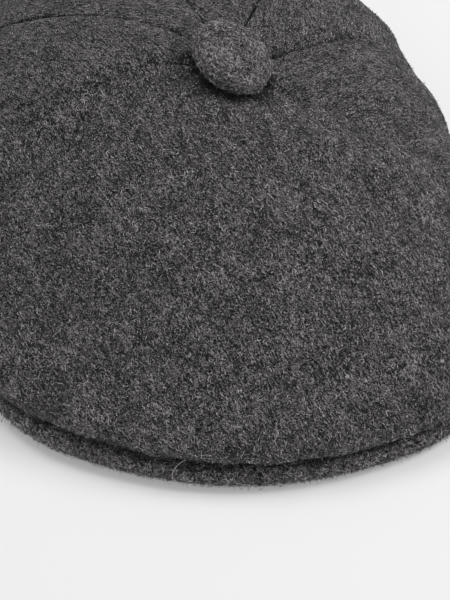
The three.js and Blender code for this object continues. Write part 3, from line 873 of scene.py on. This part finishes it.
lumps = waves(button_x, button_y, LUMP_LENGTH, 7) * np.clip(rise / LUMP_FADE, 0, 1)
crease_along, crease_over = turned(
    button_x - COVER_CREASE["x"], button_y - COVER_CREASE["y"], COVER_CREASE["turn"])
crease = np.exp(-((crease_along / COVER_CREASE["length"]) ** 2)
                - (crease_over / COVER_CREASE["width"]) ** 2) * (rise > shoulder)
rise_of_cover = rise + LUMP_HEIGHT * lumps - CREASE_DEPTH * crease
button_grid = np.stack([button_x, button_y, rise_of_cover], axis=-1)
lean_up = math.sqrt(1 - BUTTON_LEAN_RIGHT**2 - BUTTON_LEAN_FRONT**2)
lean_axis = Vector((BUTTON_LEAN_RIGHT, -BUTTON_LEAN_FRONT, lean_up))
lean = np.array(Vector((0, 0, 1)).rotation_difference(lean_axis).to_matrix())
apex = np.array([APEX_X, APEX_Y, APEX_HEIGHT + slump(np.array(APEX_X), np.array(APEX_Y))])
button_grid = button_grid @ lean.T + apex
down_step = np.gradient(button_grid, axis=0)
button_normal = unit(np.cross(down_step, np.gradient(button_grid, axis=1)))
arc = np.cumsum(np.linalg.norm(down_step, axis=-1), axis=0)
swirl = spin + SWIRL * arc / BUTTON_RADIUS
button_cloth = np.stack([arc * np.cos(swirl), arc * np.sin(swirl)], axis=-1)
# The cover's crease carries painted shade
button = new_piece("covered_button", button_grid, quads(np.arange(arc.size).reshape(arc.shape)), wool,
                   "melton_wool", cloth=cloth_places(button_cloth),
                   tone_shift=(BUTTON_TONE + CREASE_SHADE_TONE * crease).ravel())
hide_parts("button")

# Handling has laid most of the button's fibres round it
round_rim = np.stack([BUTTON_RADIUS * spin + np.zeros_like(arc), arc], axis=-1)
weights = (1 - NAP_LOST_IN_CREASE * crease) * np.where(radius > MIDDLE_RADIUS, 1, NAP_AT_MIDDLE)
weights = weights * np.where(rise >= BUTTON_BACK, 1, NAP_ON_BACK)
lay_fibres("button_nap", button_grid, button_normal, round_rim, weights, count=BUTTON_FIBRES,
           seed=50, lengths=(1.0, 3.6), wander=38, curl=0.4, stray=0.05, tone=0.62)

# Lint and a pulled fibre
# Two specks of pale lint caught in the nap of the front panel, and one long pale fibre pulled out
# of the roll of the crown, which hangs over the peak's edge.

LINT_PLACES = ((0.611, 0.88), (0.716, 0.929))
LINT_LIFT = (0, -0.5, 0.9)
LINT_THREADS = 60
LINT_THREAD_LENGTH = 0.6
LINT_SPREAD = 0.22
LINT_BOW = 0.15
LINT_THREAD_WIDTH = 0.2
PULLED_FIBRE = ((-17.2, -143.4, 9.4), (-20.4, -145.4, 9.0), (-22.4, -146.2, 6.2), (-20.8, -146.4, 2.4))
PULLED_FIBRE_WIDTH = 0.14
PULLED_FIBRE_FACES = (0, -0.8, 0.6)

for number, (across, down) in enumerate(LINT_PLACES):
    random = np.random.default_rng(70 + number)
    speck = panel_point("crown_front", np.array(across), np.array(down)) + LINT_LIFT
    start = speck + random.normal(0, LINT_SPREAD, (LINT_THREADS, 3))
    heading = LINT_THREAD_LENGTH * unit(random.normal(0, 1, (LINT_THREADS, 3)))
    bow = unit(np.cross(heading, random.normal(0, 1, (LINT_THREADS, 3))))
    middle = start + heading / 2 + bow * LINT_BOW
    side = bow * LINT_THREAD_WIDTH / 2
    corners = np.stack([start - side, start + side, middle - side, middle + side, start + heading], 1)
    strands("lint_speck_%d" % (number + 1), corners, np.ones(5 * LINT_THREADS))

path = bezier(PULLED_FIBRE, 40)
side = unit(np.cross(np.gradient(path, axis=0), PULLED_FIBRE_FACES)) * PULLED_FIBRE_WIDTH / 2
new_piece("pulled_fibre", np.stack([path - side, path + side], 1),
          quads(np.arange(2 * len(path)).reshape(-1, 2)), fibre, "melton_wool",
          shade=np.ones(2 * len(path)))

# Surface and light
# A plain pale matt table under soft light from the upper right and from above and behind, with a
# little from low in front and a lot from all round, so that the shadows are faint and soft.

FLOOR_HALF = 1.5
ROOM_BRIGHTNESS = 0.37

# The table top is plain matt paint, which gives no reflections. It is lifted to nearly white by a
# faint glow of its own, because lamps that did it would bleach the wool
pale = new_material("pale_matt_surface")
pale_skin = add(pale, "ShaderNodeBsdfPrincipled", {
    "Base Color": linear("#d8d8d8"), "Roughness": 0.9, "Specular IOR Level": 0.1,
    "Emission Color": linear("#ffffff"), "Emission Strength": 0.23})
add(pale, "ShaderNodeOutputMaterial", {"Surface": pale_skin.outputs[0]})
floor_mesh = bpy.data.meshes.new("floor")
floor_mesh.from_pydata([(-FLOOR_HALF, -FLOOR_HALF, 0), (FLOOR_HALF, -FLOOR_HALF, 0),
                        (FLOOR_HALF, FLOOR_HALF, 0), (-FLOOR_HALF, FLOOR_HALF, 0)], [], [(0, 1, 2, 3)])
floor_mesh.materials.append(pale)
floor = bpy.data.objects.new("floor", floor_mesh)
bpy.context.scene.collection.objects.link(floor)

world = bpy.data.worlds.new("soft_room")
bpy.context.scene.world = world
world.use_nodes = True
world.node_tree.nodes["Background"].inputs["Color"].default_value = linear("#ffffff")
world.node_tree.nodes["Background"].inputs["Strength"].default_value = ROOM_BRIGHTNESS

# Place in metres, width in metres and power in watts of each lamp, all turned to the cap
LAMPS = {
    "softbox_right": ((1.1, 0.15, 1.0), 0.8, 10.4),
    "softbox_above": ((-0.35, 0.5, 1.5), 1.0, 8.6),
    "softbox_front": ((-0.2, -1.3, 0.3), 0.7, 2.6),
}
for name, (place, size, power) in LAMPS.items():
    lamp = bpy.data.lights.new(name, "AREA")
    lamp.shape = "DISK"
    lamp.size = size
    lamp.energy = power
    made = bpy.data.objects.new(name, lamp)
    made.location = place
    made.rotation_euler = (Vector(place) * -1).to_track_quat("-Z", "Y").to_euler()
    bpy.context.scene.collection.objects.link(made)

# Camera
# It looks down at the front of the cap with a long lens, so close that the cap runs out of three
# sides of the view.

CAMERA_ELEVATION = math.radians(39)
CAMERA_DISTANCE = 1.0
CAMERA_LENS = 181.2
AIM_BELOW_BUTTON = 0.07715
AIM_RIGHT_OF_BUTTON = 0.0003
photo_camera = bpy.data.cameras.new("photo_camera")
photo_camera.lens = CAMERA_LENS
photo_camera.sensor_width = 36
camera = bpy.data.objects.new("photo_camera", photo_camera)
camera.rotation_euler = (math.pi / 2 - CAMERA_ELEVATION, 0, 0)
backward = Vector((0, -math.cos(CAMERA_ELEVATION), math.sin(CAMERA_ELEVATION)))
upward = Vector((0, math.sin(CAMERA_ELEVATION), math.cos(CAMERA_ELEVATION)))
aim = Vector(to_row(apex)[0]) + Vector((AIM_RIGHT_OF_BUTTON, 0, 0)) - upward * AIM_BELOW_BUTTON
camera.location = aim + backward * CAMERA_DISTANCE
bpy.context.scene.collection.objects.link(camera)
bpy.context.scene.camera = camera
bpy.context.scene.view_settings.view_transform = "Standard"
